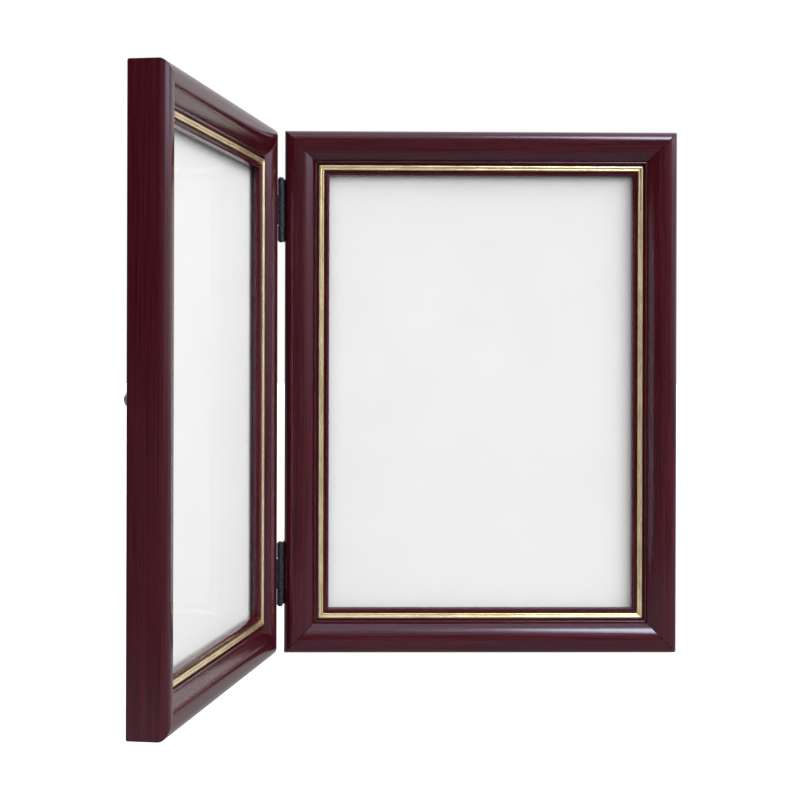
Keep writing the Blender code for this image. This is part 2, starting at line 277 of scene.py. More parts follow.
def mahogany_material():
    """Dark red-brown stained wood with fine straight grain under a smooth clear lacquer."""
    material, tree, shader = new_material("lacquered_mahogany")
    grain = attribute(tree, "grain")
    wear = attribute(tree, "wear", "Fac")
    streaks = noise(tree, scaled(tree, grain, (26.0, 2100.0, 2100.0)), detail=4.0, roughness=0.6)
    bands = noise(tree, scaled(tree, grain, (6.0, 400.0, 400.0)), detail=2.0)
    pores = noise(tree, scaled(tree, grain, (150.0, 4200.0, 4200.0)), detail=2.0)
    tone = math_node(tree, "ADD", math_node(tree, "MULTIPLY", streaks, 0.7),
                     math_node(tree, "MULTIPLY", bands, 0.3))
    wood = ramp(tree, tone, [(0.32, (0.020, 0.0013, 0.0026)),
                             (0.50, (0.043, 0.0032, 0.0061)),
                             (0.68, (0.070, 0.0062, 0.0108))])
    dark_pores = remap(tree, pores, 0.58, 0.70, 0.0, 0.5)
    wood = mix_colour(tree, dark_pores, wood, (0.008, 0.0006, 0.0016))
    worn = math_node(tree, "MULTIPLY", wear,
                     remap(tree, noise(tree, scaled(tree, grain, (90.0, 500.0, 500.0))),
                           0.45, 0.75, 0.0, 0.35))
    wood = mix_colour(tree, worn, wood, (0.12, 0.030, 0.026))
    tree.links.new(wood, shader.inputs["Base Color"])
    rough = remap(tree, streaks, 0.3, 0.7, 0.13, 0.21)
    tree.links.new(rough, shader.inputs["Roughness"])
    shader.inputs["IOR"].default_value = 1.55
    # Painted reflection colour: this bluish specular tint gives every reflection the cool colour
    # of the studio lamps, which are themselves neutral; clear lacquer has no such tint.
    shader.inputs["Specular Tint"].default_value = (0.72, 0.78, 1.0, 1.0)
    flow = noise(tree, scaled(tree, grain, (160.0, 420.0, 420.0)), detail=1.0)
    height = math_node(tree, "ADD", math_node(tree, "MULTIPLY", flow, 0.75),
                       math_node(tree, "MULTIPLY", streaks, 0.25))
    tree.links.new(bump(tree, height, 0.00002, 0.6), shader.inputs["Normal"])
    return material


def gilt_material():
    """Pale gold leaf foil, burnished, with faint rub marks along the bead."""
    material, tree, shader = new_material("pale_gilt")
    grain = attribute(tree, "grain")
    wear = attribute(tree, "wear", "Fac")
    rub = noise(tree, scaled(tree, grain, (60.0, 2500.0, 2500.0)), detail=3.0)
    patch = noise(tree, scaled(tree, grain, (110.0, 300.0, 300.0)), detail=3.0)
    gold = ramp(tree, patch, [(0.30, (0.64, 0.47, 0.23)),
                              (0.55, (0.84, 0.67, 0.38)),
                              (0.75, (0.94, 0.81, 0.54))])
    gold = mix_colour(tree, math_node(tree, "MULTIPLY", wear, 0.3), gold, (0.95, 0.88, 0.70))
    tree.links.new(gold, shader.inputs["Base Color"])
    shader.inputs["Metallic"].default_value = 0.8
    tree.links.new(remap(tree, rub, 0.3, 0.7, 0.16, 0.28), shader.inputs["Roughness"])
    tree.links.new(bump(tree, rub, 0.00003, 0.5), shader.inputs["Normal"])
    return material


def glass_material():
    """Clear picture glass: lamps pass through it, and it keeps a faint surface reflection."""
    material = bpy.data.materials.new("picture_glass")
    material.use_nodes = True
    tree = material.node_tree
    tree.nodes.clear()
    out = tree.nodes.new("ShaderNodeOutputMaterial")
    place = object_coordinates(tree)
    smear = noise(tree, scaled(tree, place, (18.0, 18.0, 34.0)), detail=4.0)
    clear = node(tree, "ShaderNodeBsdfTransparent", Color=(0.98, 0.98, 0.98, 1.0))
    gloss = node(tree, "ShaderNodeBsdfGlossy", Color=(1.0, 1.0, 1.0, 1.0),
                 Roughness=remap(tree, smear, 0.35, 0.75, 0.02, 0.09))
    fresnel = node(tree, "ShaderNodeFresnel", IOR=1.04)
    outside = math_node(tree, "SUBTRACT", 1.0, node(tree, "ShaderNodeNewGeometry")
                        .outputs["Backfacing"])
    mixed = tree.nodes.new("ShaderNodeMixShader")
    tree.links.new(math_node(tree, "MULTIPLY", fresnel.outputs[0], outside), mixed.inputs[0])
    tree.links.new(clear.outputs[0], mixed.inputs[1])
    tree.links.new(gloss.outputs[0], mixed.inputs[2])
    tree.links.new(mixed.outputs[0], out.inputs["Surface"])
    return material


def paper_material():
    """Smooth pale grey card, with faint fibres."""
    material, tree, shader = new_material("pale_card")
    place = object_coordinates(tree)
    fibres = noise(tree, place, 2600.0, 5.0, 0.7)
    cloud = noise(tree, place, 45.0, 3.0)
    colour = ramp(tree, cloud, [(0.3, (0.735, 0.735, 0.735)), (0.7, (0.755, 0.755, 0.755))])
    colour = mix_colour(tree, remap(tree, fibres, 0.35, 0.7, 0.0, 0.05), colour,
                        (0.62, 0.62, 0.61))
    tree.links.new(colour, shader.inputs["Base Color"])
    tree.links.new(remap(tree, fibres, 0.3, 0.7, 0.70, 0.85), shader.inputs["Roughness"])
    shader.inputs["Specular IOR Level"].default_value = 0.3
    tree.links.new(bump(tree, fibres, 0.00002, 0.5), shader.inputs["Normal"])
    return material


def board_material():
    """Brown hardboard: pressed fibres, paler flecks and a slightly polished face."""
    material, tree, shader = new_material("hardboard")
    place = object_coordinates(tree)
    wear = attribute(tree, "wear", "Fac")
    fibres = noise(tree, place, 620.0, 6.0, 0.72, 1.2)
    cloud = noise(tree, place, 60.0, 4.0, 0.6)
    flecks = noise(tree, place, 1300.0, 2.0, 0.5, 2.0)
    tone = math_node(tree, "ADD", math_node(tree, "MULTIPLY", fibres, 0.65),
                     math_node(tree, "MULTIPLY", cloud, 0.35))
    colour = ramp(tree, tone, [(0.38, (0.050, 0.024, 0.012)),
                               (0.50, (0.120, 0.062, 0.033)),
                               (0.62, (0.220, 0.125, 0.070))])
    colour = mix_colour(tree, remap(tree, flecks, 0.62, 0.70, 0.0, 0.6), colour,
                        (0.36, 0.24, 0.145))
    colour = mix_colour(tree, math_node(tree, "MULTIPLY", wear, 0.5), colour,
                        (0.30, 0.20, 0.12))
    tree.links.new(colour, shader.inputs["Base Color"])
    tree.links.new(remap(tree, fibres, 0.3, 0.7, 0.45, 0.72), shader.inputs["Roughness"])
    shader.inputs["Specular IOR Level"].default_value = 0.35
    tree.links.new(bump(tree, fibres, 0.00008, 0.6), shader.inputs["Normal"])
    return material


def black_steel_material():
    """Blackened steel with a thin oil sheen, rubbed bare along its edges."""
    material, tree, shader = new_material("blackened_steel")
    place = object_coordinates(tree)
    wear = attribute(tree, "wear", "Fac")
    mottle = noise(tree, place, 700.0, 4.0, 0.6)
    scuff = noise(tree, place, 2200.0, 3.0, 0.6, 0.8)
    colour = ramp(tree, mottle, [(0.3, (0.003, 0.004, 0.006)), (0.7, (0.009, 0.011, 0.016))])
    bare = math_node(tree, "MULTIPLY", wear, remap(tree, scuff, 0.48, 0.70, 0.0, 0.6))
    colour = mix_colour(tree, bare, colour, (0.13, 0.14, 0.16))
    tree.links.new(colour, shader.inputs["Base Color"])
    tree.links.new(math_node(tree, "MULTIPLY", bare, 0.8), shader.inputs["Metallic"])
    shader.inputs["Specular IOR Level"].default_value = 0.3
    shader.inputs["Specular Tint"].default_value = (0.80, 0.88, 1.0, 1.0)
    tree.links.new(remap(tree, mottle, 0.3, 0.7, 0.24, 0.38), shader.inputs["Roughness"])
    tree.links.new(bump(tree, scuff, 0.00003, 0.35), shader.inputs["Normal"])
    return material


def zinc_material():
    """Zinc-plated steel: faintly brushed, with dull blotches and brighter edges."""
    material, tree, shader = new_material("zinc_plate")
    place = object_coordinates(tree)
    wear = attribute(tree, "wear", "Fac")
    blotch = noise(tree, place, 420.0, 4.0, 0.6)
    brush = noise(tree, scaled(tree, place, (3800.0, 3800.0, 500.0)), detail=2.0)
    colour = ramp(tree, blotch, [(0.3, (0.34, 0.35, 0.36)), (0.7, (0.52, 0.52, 0.50))])
    colour = mix_colour(tree, math_node(tree, "MULTIPLY", wear, 0.4), colour,
                        (0.78, 0.78, 0.77))
    tree.links.new(colour, shader.inputs["Base Color"])
    shader.inputs["Metallic"].default_value = 1.0
    rough = math_node(tree, "ADD", remap(tree, blotch, 0.3, 0.7, 0.38, 0.24),
                      remap(tree, brush, 0.3, 0.7, 0.0, 0.08))
    tree.links.new(rough, shader.inputs["Roughness"])
    tree.links.new(bump(tree, brush, 0.00002, 0.4), shader.inputs["Normal"])
    return material


MATERIALS = {
    "mahogany": mahogany_material(),
    "gilt": gilt_material(),
    "glass": glass_material(),
    "picture": paper_material(),
    "board": board_material(),
    "black_steel": black_steel_material(),
    "zinc": zinc_material(),
}


# ---------------------------------------------------------------- geometry helpers

def leaf_matrix(leaf):
    """Places a leaf's millimetres, measured from the hinge axis, in the model's frame."""
    turn = REST_SWING if leaf == "left" else 0.0
    return Matrix.Translation(AXIS) @ Matrix.Rotation(turn, 4, "Z") @ Matrix.Scale(MM, 4)


def leaf_point(side, u, d, z):
    return Vector((side * (AXIS_SIDE + u), AXIS_D - d, z))


def arc(centre, radii, start, end, steps):
    """Points along an ellipse's arc, angles in degrees, both ends included."""
    points = []
    for k in range(steps + 1):
        angle = math.radians(start + (end - start) * k / steps)
        points.append((centre[0] + radii[0] * math.cos(angle),
                       centre[1] + radii[1] * math.sin(angle)))
    return points


def rounded(points, radii, steps=3):
    """Rounds each corner of a closed loop, and keeps corners of radius 0.

    Known fault: slerp() returns unit vectors, so every arc is drawn 1 mm from its centre and
    not at its own radius, and stands proud of the corner by the difference. Multiplying the
    slerp of the normalized vectors by radius would cure it."""
    made = []
    count = len(points)
    for i, (point, radius) in enumerate(zip(points, radii)):
        here = Vector(point)
        if radius <= 0.0:
            made.append(tuple(here))
            continue
        before = (Vector(points[i - 1]) - here).normalized()
        after = (Vector(points[(i + 1) % count]) - here).normalized()
        half = before.angle(after) / 2.0
        reach = radius / math.tan(half)
        centre = here + (before + after).normalized() * (radius / math.sin(half))
        start = here + before * reach - centre
        end = here + after * reach - centre
        for k in range(steps + 1):
            made.append(tuple(centre + start.slerp(end, k / steps)))
    return made


def curvature(loop):
    """How sharply a closed loop bends outwards at each point, from 0 to 1."""
    values = []
    count = len(loop)
    area = sum(loop[i - 1][0] * loop[i][1] - loop[i][0] * loop[i - 1][1] for i in range(count))
    for i in range(count):
        here = Vector(loop[i])
        before = here - Vector(loop[i - 1])
        after = Vector(loop[(i + 1) % count]) - here
        turn = math.atan2(before.x * after.y - before.y * after.x, before.dot(after))
        bend = math.copysign(1.0, area) * turn / max((before.length + after.length) / 2.0, 1e-6)
        values.append(min(max((bend - BEND_LOW) / BEND_SPAN, 0.0), 1.0))
    return values


def supported(loop, angle=25.0, reach=EDGE_SUPPORT):
    """Adds a point beside every sharp corner of a closed loop, on its long sides."""
    made = []
    count = len(loop)
    turns = []
    for i in range(count):
        before = Vector(loop[i]) - Vector(loop[i - 1])
        after = Vector(loop[(i + 1) % count]) - Vector(loop[i])
        turns.append(before.angle(after) > math.radians(angle) / 2.0)
    for i in range(count):
        here = Vector(loop[i])
        there = Vector(loop[(i + 1) % count])
        span = there - here
        made.append(tuple(here))
        if span.length > 3.0 * reach:
            if turns[i]:
                made.append(tuple(here + span.normalized() * reach))
            if turns[(i + 1) % count]:
                made.append(tuple(there - span.normalized() * reach))
    return made


def shrunk(loop, amount):
    """Moves each side of a closed loop inwards by amount."""
    count = len(loop)
    area = sum(loop[i - 1][0] * loop[i][1] - loop[i][0] * loop[i - 1][1] for i in range(count))
    sign = math.copysign(1.0, area)
    made = []
    for i in range(count):
        before = (Vector(loop[i]) - Vector(loop[i - 1])).normalized()
        after = (Vector(loop[(i + 1) % count]) - Vector(loop[i])).normalized()
        inward = Vector((-before.y - after.y, before.x + after.x)) * sign
        inward.normalize()
        cosine = max(inward.dot(Vector((-before.y, before.x)) * sign), 0.35)
        made.append(tuple(Vector(loop[i]) + inward * (amount / cosine)))
    return made


def set_attribute(mesh, name, kind, values):
    made = mesh.attributes.new(name, kind, "POINT")
    if kind == "FLOAT":
        made.data.foreach_set("value", values)
    else:
        made.data.foreach_set("vector", [number for value in values for number in value])


def add_piece(name, bm, place, slot, body, replaced=(), smooth_angle=30.0):
    """Turns a bmesh into a finished piece: place maps its millimetres to the model's frame."""
    bmesh.ops.recalc_face_normals(bm, faces=bm.faces)
    bm.transform(place)
    if place.is_negative:
        bmesh.ops.reverse_faces(bm, faces=bm.faces)
    mesh = bpy.data.meshes.new(name)
    bm.to_mesh(mesh)
    bm.free()
    mesh.materials.append(MATERIALS[slot])
    mesh.shade_smooth()
    mesh.set_sharp_from_angle(angle=math.radians(smooth_angle))
    item = bpy.data.objects.new(name, mesh)
    bpy.context.scene.collection.objects.link(item)
    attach(item, body)
    if replaced:
        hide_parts(*replaced)
    return item


def skin(bm, rings):
    """Joins matching rings of vertices into a closed skin, capped at both ends."""
    for ring, following in zip(rings, rings[1:]):
        count = len(ring)
        for i in range(count):
            j = (i + 1) % count
            bm.faces.new((ring[i], ring[j], following[j], following[i]))
    bm.faces.new(rings[0])
    bm.faces.new(rings[-1])


# ---------------------------------------------------------------- mouldings and beads

def moulding_section():
    """The finished moulding section as a closed loop of (s, d)."""
    points = arc((BACK_ROUND, BACK_ROUND), (BACK_ROUND, BACK_ROUND), 270.0, 180.0, 5)
    nose_depth = LEAF_DEPTH - SIDE_DEPTH
    points += arc((NOSE_WIDTH, SIDE_DEPTH), (NOSE_WIDTH, nose_depth), 180.0, 90.0, 26)
    turn = math.radians(FALL_TURN)
    foot_s = CREST_END + FALL_RADIUS * math.sin(turn)
    foot_d = LEAF_DEPTH - FALL_RADIUS * (1.0 - math.cos(turn))
    points += arc((CREST_END, LEAF_DEPTH - FALL_RADIUS), (FALL_RADIUS, FALL_RADIUS),
                  90.0, 90.0 - FALL_TURN, 24)
    ridge_half = (CHANNEL_START - foot_s) / 2.0
    points += arc((foot_s + ridge_half, foot_d), (ridge_half, RIDGE_HEIGHT), 180.0, 0.0, 14)[1:]
    points += [(CHANNEL_START, CHANNEL_FLOOR), (CHANNEL_END, CHANNEL_FLOOR)]
    points += arc((CHANNEL_END + LIP_BUMP[0], LIP_D), LIP_BUMP, 180.0, 0.0, 8)
    corners = [
        (FACE_WIDTH, LIP_D),
        (FACE_WIDTH, REBATE_D),
        (REBATE_S, REBATE_D),
        (REBATE_S, 0.0),
    ]
    radii = [LIP_ROUND, REBATE_ROUND, 0.0, REBATE_ROUND]
    ends = [points[-1]] + corners + [points[0]]
    return supported(points + rounded(ends, [0.0] + radii + [0.0])[1:-1])


def bead_section():
    """The finished gilt bead's section as a closed loop of (s, d)."""
    small = (BEAD_END - BEAD_START) / 2.0 - BEAD_RADIUS
    points = [(BEAD_END, CHANNEL_FLOOR), (BEAD_START, CHANNEL_FLOOR)]
    points += arc((BEAD_START + BEAD_RADIUS, BEAD_TOP - BEAD_RADIUS),
                  (BEAD_RADIUS, BEAD_RADIUS), 180.0, 15.0, 18)
    points += arc((BEAD_END - small, SMALL_BEAD_TOP - small), (small, small), 130.0, 0.0, 10)
    return points


def member_point(side, place, s, d, end, trim):
    """A point of a mitred member: s in from the leaf's edge, at one mitre or the other."""
    stop = s + trim
    if place == "hinge_stile":
        return leaf_point(side, s, d, stop if end == 0 else LEAF_HEIGHT - stop)
    if place == "outer_stile":
        return leaf_point(side, LEAF_WIDTH - s, d, stop if end == 0 else LEAF_HEIGHT - stop)
    height = s if place == "bottom_rail" else LEAF_HEIGHT - s
    return leaf_point(side, stop if end == 0 else LEAF_WIDTH - stop, d, height)


def add_member(leaf, kind, place, section, slot, replaced):
    """Sweeps a section along one side of a leaf, with eased edges at both mitres."""
    side = SIDES[leaf]
    trim = MITRE_TRIM * math.sqrt(2.0)
    eased = shrunk(section, MITRE_EASE)
    bend = curvature(section)
    along = 2 if place.endswith("stile") else 0
    seed = 0.37 * (PLACES.index(place) + len(PLACES) * (side < 0))
    bm = bmesh.new()
    rings, grain, wear = [], [], []
    stops = ((0, eased, trim, 1.0), (0, section, trim + MITRE_EASE, 0.7),
             (0, section, trim + EDGE_SUPPORT, 0.0),
             (1, section, trim + EDGE_SUPPORT, 0.0),
             (1, section, trim + MITRE_EASE, 0.7), (1, eased, trim, 1.0))
    for end, loop, stop, worn in stops:
        ring = []
        for (s, d), edge in zip(loop, bend):
            point = member_point(side, place, s, d, end, stop)
            ring.append(bm.verts.new(point))
            grain.append((point[along] * MM + seed, s * MM + seed, d * MM))
            wear.append(max(edge, worn))
        rings.append(ring)
    skin(bm, rings)
    item = add_piece(f"{leaf}_{kind}_{place}", bm, leaf_matrix(leaf), slot, BODIES[leaf],
                     [replaced], 26.0)
    set_attribute(item.data, "grain", "FLOAT_VECTOR", grain)
    set_attribute(item.data, "wear", "FLOAT", wear)


# ---------------------------------------------------------------- sheets behind the sight edge

def extruded(bm, loops):
    """Adds a closed skin through matching loops of 3-D points."""
    skin(bm, [[bm.verts.new(point) for point in loop] for loop in loops])


def slab(outline, low, high, ease, to_point):
    """A plate with eased edges: to_point(a, b, height) places a point of its outline."""
    bm = bmesh.new()
    inner = shrunk(outline, ease)
    stops = ((inner, low), (outline, low + ease), (outline, high - ease), (inner, high))
    extruded(bm, [[to_point(a, b, height) for a, b in loop] for loop, height in stops])
    return bm


def edge_wear(item, reach):
    """Wear is 1 at points whose faces turn apart by more than reach degrees, else 0."""
    mesh = item.data
    adjacent = [[] for _ in mesh.vertices]
    for polygon in mesh.polygons:
        for index in polygon.vertices:
            adjacent[index].append(polygon.normal)
    values = []
    for normals in adjacent:
        spread = max((first.angle(second) for first in normals for second in normals),
                     default=0.0)
        values.append(1.0 if spread > math.radians(reach) else 0.0)
    set_attribute(mesh, "wear", "FLOAT", values)


def add_sheet(leaf, kind, slot):
    """Glass, picture or board: the size and place of its CAD node, with eased edges."""
    side = SIDES[leaf]
    low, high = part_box(f"right_{kind}")
    near = (low.x - AXIS.x) / MM - AXIS_SIDE
    far = (high.x - AXIS.x) / MM - AXIS_SIDE
    back = AXIS_D - (high.y - AXIS.y) / MM
    front = AXIS_D - (low.y - AXIS.y) / MM
    outline = [(near, low.z / MM), (far, low.z / MM), (far, high.z / MM), (near, high.z / MM)]
    ease = SHEET_EASE[kind]
    bm = slab(outline, back, front, ease, lambda u, z, d: leaf_point(side, u, d, z))
    flat = [face for face in bm.faces if face.calc_area() > SHEET_FLAT]
    bmesh.ops.inset_region(bm, faces=flat, thickness=SHEET_MARGIN, use_boundary=True)
    item = add_piece(f"{leaf}_{kind}_sheet", bm, leaf_matrix(leaf), slot, BODIES[leaf],
                     [f"{leaf}_{kind}"])
    edge_wear(item, 30.0)


# ---------------------------------------------------------------- hardware

def turned(profile, sides, to_point):
    """Turns (radius, height) points about an axis: to_point(a, b, height) places a point."""
    bm = bmesh.new()
    rings = []
    for radius, height in profile:
        ring = []
        for k in range(sides):
            angle = 2.0 * math.pi * k / sides
            ring.append(bm.verts.new(to_point(radius * math.cos(angle),
                                              radius * math.sin(angle), height)))
        rings.append(ring)
    skin(bm, rings)
    return bm


def combined(base, tools):
    """Applies [(operation, bmesh)] to a bmesh with exact booleans, and returns the result."""
    def temporary(bm):
        bmesh.ops.recalc_face_normals(bm, faces=bm.faces)
        mesh = bpy.data.meshes.new("temporary")
        bm.to_mesh(mesh)
        bm.free()
        item = bpy.data.objects.new("temporary", mesh)
        bpy.context.scene.collection.objects.link(item)
        return item

    target = temporary(base)
    others = []
    for operation, bm in tools:
        other = temporary(bm)
        others.append(other)
        cut = target.modifiers.new("cut", "BOOLEAN")
        cut.operation = operation
        cut.solver = "EXACT"
        cut.object = other
    graph = bpy.context.evaluated_depsgraph_get()
    result = bmesh.new()
    result.from_object(target, graph)
    for item in [target, *others]:
        bpy.data.objects.remove(item)
    return result


def cross_recess(reach, depth, width, to_point):
    """Two tapered bars that cut a cross into a screw head, from height 0 downwards."""
    stops = ((reach * 0.45, width * 0.3, -depth), (reach, width * 0.5, 0.0),
             (reach * 1.1, width * 0.55, depth))
    tools = []
    for along_first in (True, False):
        loops = []
        for length, breadth, height in stops:
            x, y = (length, breadth) if along_first else (breadth, length)
            loops.append([to_point(a, b, height) for a, b in
                          ((-x, -y), (x, -y), (x, y), (-x, y))])
        bm = bmesh.new()
        extruded(bm, loops)
        tools.append(("DIFFERENCE", bm))
    return tools


def knuckle_outline():
    """Plan of a curled knuckle with its arm, as (x, y) round the axis."""
    radius = -(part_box("right_hinge_plate_lower")[0].y - AXIS.y) / MM
    points = [(PLATE_OUTER, ARM_BACK), (PLATE_OUTER, NOTCH_BACK)]
    points += arc((0.0, 0.0), (radius, radius), ARM_START, CURL_END - 360.0, 56)
    points += arc((0.0, 0.0), (KNUCKLE_BORE, KNUCKLE_BORE), CURL_END - 360.0,
                  ARM_START + 10.0, 44)
    points += [(PLATE_INNER, ARM_SHOULDER), (PLATE_INNER, ARM_BACK)]
    return points


def add_hinge_plate(leaf, which):
    """A plate with countersunk holes whose knuckles curl round the pin."""
    side = SIDES[leaf]
    low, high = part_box(f"right_hinge_plate_{which}")
    foot, top = low.z / MM, high.z / MM
    back = (high.y - AXIS.y) / MM
    corners = [(NOTCH_BACK, foot), (back, foot), (back, top), (NOTCH_BACK, top)]
    outline = rounded(corners, [0.0, PLATE_CORNER, PLATE_CORNER, 0.0], 6)
    plate = slab(outline, PLATE_INNER, PLATE_OUTER, PLATE_EASE,
                 lambda y, z, x: Vector((side * x, y, z)))
    tools = []
    for label in ("low", "high"):
        screw_low, screw_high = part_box(f"right_hinge_screw_{which}_{label}")
        y = (screw_low.y + screw_high.y) / 2.0 / MM - AXIS.y / MM
        z = (screw_low.z + screw_high.z) / 2.0 / MM
        radius = (screw_high.y - screw_low.y) / 2.0 / MM

        def at(a, b, height, y=y, z=z):
            return Vector((side * (PLATE_INNER + height), y + a, z + b))

        sink = [(radius + extra, depth) for extra, depth in SINK_PROFILE] + list(SINK_HOLE)
        tools.append(("DIFFERENCE", turned(sink, ROUND_SIDES, at)))
        head = [(radius - HINGE_HEAD_EASE[0], HEAD_SUNK),
                (radius, HEAD_SUNK + HINGE_HEAD_EASE[1]),
                (HINGE_SHANK_RADIUS, HINGE_HEAD_DEPTH), (HINGE_SHANK_RADIUS, HINGE_SHANK_END),
                HINGE_TIP]
        screw = combined(turned(head, ROUND_SIDES, at),
                         cross_recess(*HINGE_RECESS, lambda a, b, h: at(a, b, HEAD_SUNK - h)))
        item = add_piece(f"{leaf}_plate_screw_{which}_{label}", screw, leaf_matrix(leaf),
                         "black_steel", BODIES[leaf], [f"{leaf}_hinge_screw_{which}_{label}"])
        edge_wear(item, 40.0)
    middle = (foot + END_KNUCKLE, top - END_KNUCKLE)
    if leaf == "left":
        spans = [(middle[0] + KNUCKLE_GAP, middle[1] - KNUCKLE_GAP)]
    else:
        spans = [(foot, middle[0] - KNUCKLE_GAP), (middle[1] + KNUCKLE_GAP, top)]
    for start, end in spans:
        tools.append(("UNION", slab(knuckle_outline(), start, end, KNUCKLE_EASE,
                                    lambda x, y, z: Vector((side * x, y, z)))))
    item = add_piece(f"{leaf}_butt_plate_{which}", combined(plate, tools), leaf_matrix(leaf),
                     "black_steel", BODIES[leaf], [f"{leaf}_hinge_plate_{which}"])
    edge_wear(item, 40.0)


def add_hinge_pin(which):
    """A pin with a domed tip at each end of the barrel."""
    low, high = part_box(f"hinge_pin_{which}")
    plate_low, plate_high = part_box(f"right_hinge_plate_{which}")
    radius = (high.x - low.x) / 2.0 / MM
    tip = (high.z - plate_high.z) / MM
    dome = arc((0.0, 0.0), (radius, tip), 0.0, 82.0, 7)
    upper = [(PIN_RADIUS, plate_high.z / MM)]
    upper += [(r, plate_high.z / MM + 0.02 + h * 0.95) for r, h in dome]
    lower = [(PIN_RADIUS, plate_low.z / MM)]
    lower += [(r, plate_low.z / MM - 0.02 - h * 0.95) for r, h in dome]
    bm = turned(lower[::-1] + upper, ROUND_SIDES, lambda a, b, z: Vector((a, b, z)))
    item = add_piece(f"pin_{which}", bm, leaf_matrix("right"), "black_steel", "root",
                     [f"hinge_pin_{which}"])
    edge_wear(item, 40.0)


def button_matrix(leaf, place):
    """Puts x along the tab from its pivot, z out of the leaf's back, in the model's frame."""
    name = f"{leaf}_turn_button_{place}_turn"
    joint = next(item for item in frame["joints"] if item["name"] == name)
    turn = BUTTON_TURNS[place] if leaf == "right" else 180.0 - BUTTON_TURNS[place]
    swing = REST_SWING if leaf == "left" else 0.0
    upright = Matrix(((1, 0, 0, 0), (0, 0, 1, 0), (0, 1, 0, 0), (0, 0, 0, 1)))
    spin = Matrix.Rotation(math.radians(turn), 4, "Z")
    return (Matrix.Translation(joint["pos_m"]) @ Matrix.Rotation(swing, 4, "Z")
            @ upright @ spin @ Matrix.Scale(MM, 4))


def add_turn_button(leaf, place):
    """A stamped tab with a pressed rib, and the cross-head screw that it turns on."""
    node_name = f"{leaf}_turn_button_{place}"
    low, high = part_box("right_turn_button_hinge_stile")
    reach = (high.x - low.x) / MM - BUTTON_HALF_WIDTH
    thick = (high.y - low.y) / MM
    half = BUTTON_HALF_WIDTH
    outline = arc((0.0, 0.0), (half, half), 90.0, 270.0, 24)
    outline += arc((reach - half, 0.0), (half, half), -90.0, 90.0, 24)

    def flat(a, b, height):
        return Vector((a, b, height))

    tab = slab(outline, 0.0, thick, BUTTON_EASE, flat)
    rib = [(math.cos(math.radians(t)), math.sin(math.radians(t))) for t in range(-80, 81, 16)]
    pill = turned(rib, RIB_SIDES,
                  lambda a, b, h: Vector((RIB_MIDDLE + a * RIB_LENGTH / 2.0, b * RIB_WIDTH / 2.0,
                                          thick + h * RIB_HEIGHT)))
    bore = SHANK_RADIUS + HOLE_CLEARANCE
    hole = turned([(bore, -1.0), (bore, thick + 1.0)], RIB_SIDES, flat)
    bm = combined(tab, [("UNION", pill), ("DIFFERENCE", hole)])
    place_matrix = button_matrix(leaf, place)
    item = add_piece(f"{leaf}_tab_{place}", bm, place_matrix, "zinc",
                     f"{node_name}_body", [node_name])
    edge_wear(item, 35.0)

    seat = thick + HOLE_CLEARANCE
    dome = arc((0.0, 0.0), (PAN_RADIUS, PAN_HEIGHT), 0.0, 80.0, 9)
    profile = [(SHANK_RADIUS * 0.4, seat - SHANK_LENGTH), (SHANK_RADIUS, seat - SHANK_TAPER),
               (SHANK_RADIUS, seat), (PAN_RADIUS - PAN_RIM, seat)]
    profile += [(r, seat + PAN_RIM + h) for r, h in dome]
    crown = seat + PAN_RIM + PAN_HEIGHT
    recess = cross_recess(*PAN_RECESS, lambda a, b, h: Vector((a, b, crown + h)))
    screw = combined(turned(profile, ROUND_SIDES, flat), recess)
    item = add_piece(f"{leaf}_tab_screw_{place}", screw, place_matrix, "zinc", BODIES[leaf],
                     [f"{leaf}_button_screw_{place}"])
    edge_wear(item, 35.0)


def add_wedge_nails(leaf):
    """A V-shaped nail across each mitre of the leaf's back, nearly flush with the wood."""
    side = SIDES[leaf]
    for name, u, z, point_u, point_z in (
            ("low_hinge", NAIL_S, NAIL_S, 1, 1),
            ("high_hinge", NAIL_S, LEAF_HEIGHT - NAIL_S, 1, -1),
            ("low_outer", LEAF_WIDTH - NAIL_S, NAIL_S, -1, 1),
            ("high_outer", LEAF_WIDTH - NAIL_S, LEAF_HEIGHT - NAIL_S, -1, -1)):
        leg, thick = NAIL_LEG, NAIL_THICK
        outline = [(0.0, 0.0), (leg, 0.0), (leg, thick), (thick, thick), (thick, leg), (0.0, leg)]
        bm = slab(outline, -NAIL_PROUD, NAIL_DEPTH, NAIL_EASE,
                  lambda a, b, d: leaf_point(side, u + point_u * (a - leg / 3.0), d,
                                             z + point_z * (b - leg / 3.0)))
        item = add_piece(f"{leaf}_wedge_nail_{name}", bm, leaf_matrix(leaf), "zinc",
                         BODIES[leaf])
        edge_wear(item, 35.0)


# ---------------------------------------------------------------- light, floor and camera

def add_camera():
    data = bpy.data.cameras.new("camera")
    data.sensor_width = SENSOR_WIDTH
    data.lens = CAMERA_LENS
    data.shift_x, data.shift_y = CAMERA_SHIFT
    camera = bpy.data.objects.new("camera", data)
    forward = Vector((math.sin(CAMERA_YAW), math.cos(CAMERA_YAW), 0.0))
    level = forward.cross(Vector((0.0, 0.0, 1.0)))
    up = Vector((0.0, 0.0, 1.0))
    right = level * math.cos(CAMERA_ROLL) + up * math.sin(CAMERA_ROLL)
    top = right.cross(forward)
    place = Matrix((right, top, -forward)).transposed().to_4x4()
    corner = Vector((STILE_LOW.x, STILE_HIGH.y, 0.0))
    place.translation = corner + Vector(CAMERA_PLACE) * MM
    camera.matrix_world = place
    bpy.context.scene.collection.objects.link(camera)
    bpy.context.scene.camera = camera


